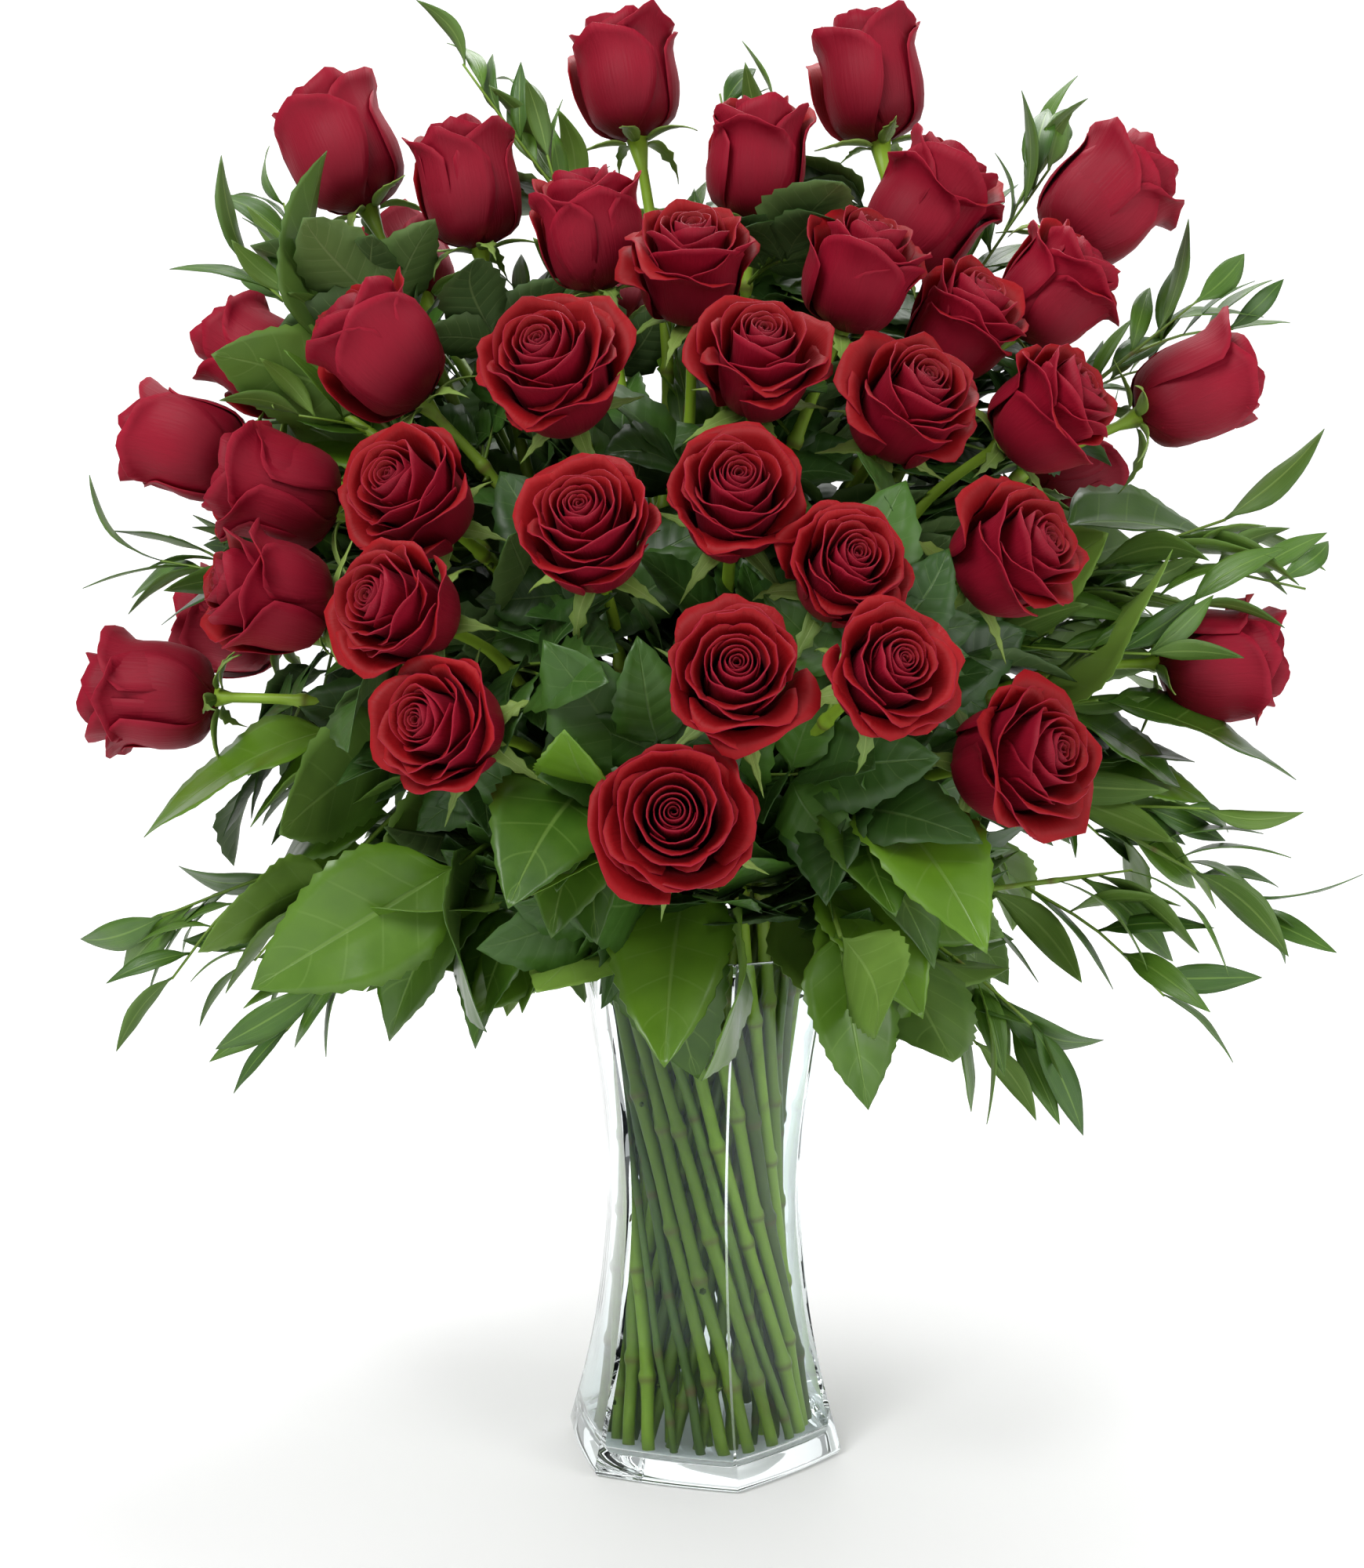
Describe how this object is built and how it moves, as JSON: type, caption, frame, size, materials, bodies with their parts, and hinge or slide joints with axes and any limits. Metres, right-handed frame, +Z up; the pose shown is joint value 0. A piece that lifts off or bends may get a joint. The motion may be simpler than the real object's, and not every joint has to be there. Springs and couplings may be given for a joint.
{
  "type": "roses in a vase",
  "caption": "Dome of long-stemmed red roses with lemon leaf and ruscus, standing in a waisted clear glass hexagonal vase.",
  "frame": {"origin": "middle of the vase's foot, on the surface that it stands on", "axes": "+Z up along the vase's axis, -Y towards the arrangement's front, +X to its right seen from the front"},
  "size_m": [0.6678, 0.4997, 0.7521],
  "materials": {
    "glass": "polished",
    "rose": "matte",
    "lemon_leaf": "satin",
    "ruscus_leaf": "satin"
  },
  "bodies": {
    "root": {"vase": "glass", "rose_01": "rose", "rose_02": "rose", "rose_03": "rose", "rose_04": "rose", "rose_05": "rose", "rose_06": "rose", "rose_07": "rose", "rose_08": "rose", "rose_09": "rose", "rose_10": "rose", "rose_11": "rose", "rose_12": "rose", "rose_13": "rose", "rose_14": "rose", "rose_15": "rose", "rose_16": "rose", "rose_17": "rose", "rose_18": "rose", "rose_19": "rose", "rose_20": "rose", "rose_21": "rose", "rose_22": "rose", "rose_23": "rose", "rose_24": "rose", "rose_25": "rose", "rose_26": "rose", "rose_27": "rose", "rose_28": "rose", "rose_29": "rose", "rose_30": "rose", "rose_31": "rose", "rose_32": "rose", "rose_33": "rose", "rose_34": "rose", "rose_35": "rose", "rose_36": "rose", "rose_37": "rose", "rose_38": "rose", "rose_39": "rose", "rose_40": "rose", "rose_41": "rose", "rose_42": "rose", "rose_43": "rose", "rose_44": "rose", "lemon_leaf_1": "lemon_leaf", "lemon_leaf_2": "lemon_leaf", "lemon_leaf_3": "lemon_leaf", "lemon_leaf_4": "lemon_leaf", "lemon_leaf_5": "lemon_leaf", "lemon_leaf_6": "lemon_leaf", "lemon_leaf_7": "lemon_leaf", "lemon_leaf_8": "lemon_leaf", "ruscus_1": "ruscus_leaf", "ruscus_2": "ruscus_leaf", "ruscus_3": "ruscus_leaf", "ruscus_4": "ruscus_leaf", "ruscus_5": "ruscus_leaf", "ruscus_6": "ruscus_leaf", "ruscus_7": "ruscus_leaf"}
  },
  "joints": []
}
